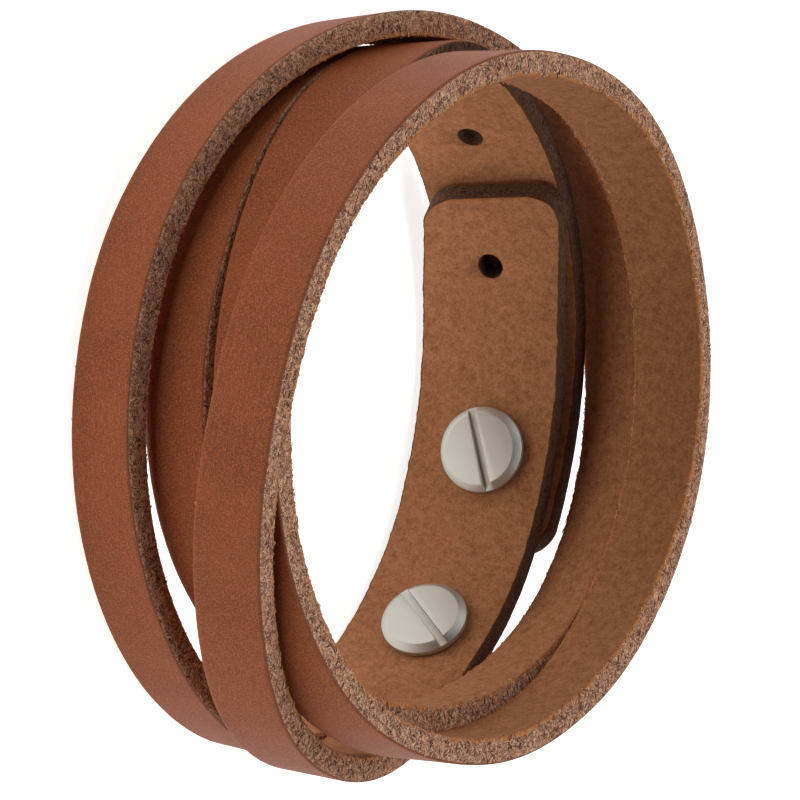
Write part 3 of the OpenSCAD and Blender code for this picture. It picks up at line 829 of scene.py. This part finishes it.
# a flat disc with a bevelled rim on a stem, its seat at z = 0, with a slot and a bore where they have a width
def discTree(material):
    lengths = [*screwSizes["screw"], "Stem Length"]
    tree, given, result = newGeometryTree("screwDisc", lengths + ["Slot Turn"])
    size = {}
    for label in lengths:
        scaled = addNode(tree, "ShaderNodeMath", {"operation": "MULTIPLY"}, {0: given.outputs[label], 1: mm})
        size[label] = scaled.outputs[0]
    for name, label, share in (
            ("radius", "Width", 0.5), ("halfHeight", "Height", 0.5), ("up", "Height", 0.25),
            ("slotLength", "Width", 2.0), ("slotHeight", "Slot Depth", 2.0),
            ("stemRadius", "Stem Width", 0.5), ("boreRadius", "Bore Width", 0.5)):
        part = addNode(tree, "ShaderNodeMath", {"operation": "MULTIPLY"}, {0: size[label], 1: share})
        size[name] = part.outputs[0]
    base = addNode(tree, "GeometryNodeMeshCylinder", inputs={
        "Vertices": screwSizes["rimSides"], "Radius": size["radius"], "Depth": size["halfHeight"]})
    bevelled = addNode(tree, "GeometryNodeExtrudeMesh", inputs={
        "Mesh": base.outputs["Mesh"], "Selection": base.outputs["Top"], "Offset Scale": size["halfHeight"]})
    inner = addNode(tree, "ShaderNodeMath", {"operation": "SUBTRACT"}, {
        0: size["radius"], 1: size["Rim Bevel"]})
    shrink = addNode(tree, "ShaderNodeMath", {"operation": "DIVIDE"}, {
        0: inner.outputs[0], 1: size["radius"]})
    drawnIn = addNode(tree, "GeometryNodeScaleElements", inputs={
        "Geometry": bevelled.outputs["Mesh"], "Selection": bevelled.outputs["Top"],
        "Scale": shrink.outputs[0]})
    discAt = addNode(tree, "ShaderNodeCombineXYZ", inputs={"Z": size["up"]})
    disc = addNode(tree, "GeometryNodeTransform", inputs={
        "Geometry": drawnIn.outputs["Geometry"], "Translation": discAt.outputs[0]})

    slotSize = addNode(tree, "ShaderNodeCombineXYZ", inputs={
        "X": size["slotLength"], "Y": size["Slot Width"], "Z": size["slotHeight"]})
    blade = addNode(tree, "GeometryNodeMeshCube", inputs={"Size": slotSize.outputs[0]})
    slotAt = addNode(tree, "ShaderNodeCombineXYZ", inputs={"Z": size["Height"]})
    slotTurn = addNode(tree, "ShaderNodeMath", {"operation": "RADIANS"}, {0: given.outputs["Slot Turn"]})
    slotTurned = addNode(tree, "ShaderNodeCombineXYZ", inputs={"Z": slotTurn.outputs[0]})
    placedBlade = addNode(tree, "GeometryNodeTransform", inputs={
        "Geometry": blade.outputs["Mesh"], "Translation": slotAt.outputs[0],
        "Rotation": slotTurned.outputs[0]})
    slotted = addNode(tree, "GeometryNodeMeshBoolean", {"operation": "DIFFERENCE", "solver": "EXACT"}, {
        "Mesh 1": disc.outputs["Geometry"], "Mesh 2": placedBlade.outputs["Geometry"]})
    hasSlot = addNode(tree, "FunctionNodeCompare", {"operation": "GREATER_THAN"}, {
        0: size["Slot Width"], 1: 0.0})
    head = addNode(tree, "GeometryNodeSwitch", inputs={
        "Switch": hasSlot.outputs[0], "False": disc.outputs["Geometry"], "True": slotted.outputs["Mesh"]})

    # the stem runs down from just inside the head, and the bore from the seat out through the stem's end
    boreLength = addNode(tree, "ShaderNodeMath", {"operation": "ADD"}, {0: size["Stem Length"], 1: mm})
    rods = {}
    for name, radius, length, sunk in (
            ("stem", size["stemRadius"], size["Stem Length"], screwSizes["stemSunk"]),
            ("bore", size["boreRadius"], boreLength.outputs[0], 0.0)):
        rod = addNode(tree, "GeometryNodeMeshCylinder", inputs={
            "Vertices": screwSizes["stemSides"], "Radius": radius, "Depth": length})
        down = addNode(tree, "ShaderNodeMath", {"operation": "MULTIPLY_ADD"}, {
            0: length, 1: -0.5, 2: sunk * mm})
        rodAt = addNode(tree, "ShaderNodeCombineXYZ", inputs={"Z": down.outputs[0]})
        placed = addNode(tree, "GeometryNodeTransform", inputs={
            "Geometry": rod.outputs["Mesh"], "Translation": rodAt.outputs[0]})
        rods[name] = placed.outputs["Geometry"]
    whole = addNode(tree, "GeometryNodeMeshBoolean", {"operation": "UNION", "solver": "EXACT"})
    for part in (head.outputs["Output"], rods["stem"]):
        tree.links.new(part, whole.inputs["Mesh 2"])
    hollow = addNode(tree, "GeometryNodeMeshBoolean", {"operation": "DIFFERENCE", "solver": "EXACT"}, {
        "Mesh 1": whole.outputs["Mesh"], "Mesh 2": rods["bore"]})
    hasBore = addNode(tree, "FunctionNodeCompare", {"operation": "GREATER_THAN"}, {
        0: size["Bore Width"], 1: 0.0})
    finished = addNode(tree, "GeometryNodeSwitch", inputs={
        "Switch": hasBore.outputs[0], "False": whole.outputs["Mesh"], "True": hollow.outputs["Mesh"]})
    real = addNode(tree, "GeometryNodeRealizeInstances", inputs={"Geometry": finished.outputs["Output"]})
    dressed = addNode(tree, "GeometryNodeSetMaterial", inputs={
        "Geometry": real.outputs["Geometry"], "Material": material})
    tree.links.new(dressed.outputs["Geometry"], result.inputs["Geometry"])
    return tree


def makeSatinNickel():
    # tumbled and plated: even pale grey with soft reflections
    material, tree = newMaterial("satinNickelSteel")
    place = addNode(tree, "ShaderNodeTexCoord").outputs["Object"]
    haze = addNode(tree, "ShaderNodeTexNoise", inputs={"Vector": place, "Scale": perMm(1.5), "Detail": 3})
    rough = addNode(tree, "ShaderNodeMapRange", inputs={
        "Value": haze.outputs["Fac"], "To Min": 0.48, "To Max": 0.58})
    shader = addNode(tree, "ShaderNodeBsdfPrincipled", inputs={
        "Base Color": linearColour("#c7c8c1"), "Metallic": 1.0, "Roughness": rough.outputs["Result"]})
    addNode(tree, "ShaderNodeOutputMaterial", inputs={"Surface": shader.outputs["BSDF"]})
    return material


# seats of a head on the hollow inner face and of a cap on the outer one, above the middle of the inner tab
def seats(name):
    angle = strapSizes["screwsAt"][name]
    radius, leather, gap = tabAt(angle)[0], strapSizes["leather"], screwSizes["gap"]
    hollow = screwSizes["screw"]["Width"] ** 2 / 8 / (radius - leather / 2)  # depth of the curve under a head
    under = -leather / 2 - hollow - gap
    over = leather / 2 + gap
    # two turns on, the outer tab lies over the inner one
    if name == "double":
        over += (tabAt(angle + 720)[0] - radius) * math.cos(math.radians(tabAt(angle)[2]))
    return under, over


satinNickel = makeSatinNickel()
screwDisc = discTree(satinNickel)
softened = [("BEVEL", {"width": screwSizes["softEdge"] * mm, "segments": 3, "limit_method": "ANGLE",
                       "angle_limit": math.radians(screwSizes["softAngle"])}),
            ("WEIGHTED_NORMAL", {"keep_sharp": False})]
for name, angle in strapSizes["screwsAt"].items():
    under, over = seats(name)
    values = {"Slot Turn": -screwSizes["slotTurn"][name],
              "Stem Length": over - under - screwSizes["gap"] + screwSizes["stemSunk"]}
    for kind, height, turned in (("screw", under, math.pi), ("post", over, 0)):
        piece = addObject(kind + name.capitalize(), bpy.data.meshes.new("blank"))
        piece.data = plainMesh(piece, screwDisc, {**screwSizes[kind], **values}, softened)
        piece.data.shade_smooth()
        seat = Matrix.Translation((0, 0, height * mm)) @ Matrix.Rotation(turned, 4, "X")
        piece.data.transform(onTab(angle, strapSizes["screwRise"]) @ seat)
        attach(piece, "root")
        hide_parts(kind + "_" + name)
        print("metal:", piece.name, len(piece.data.polygons), "faces")
print("stage 4: screws and caps")
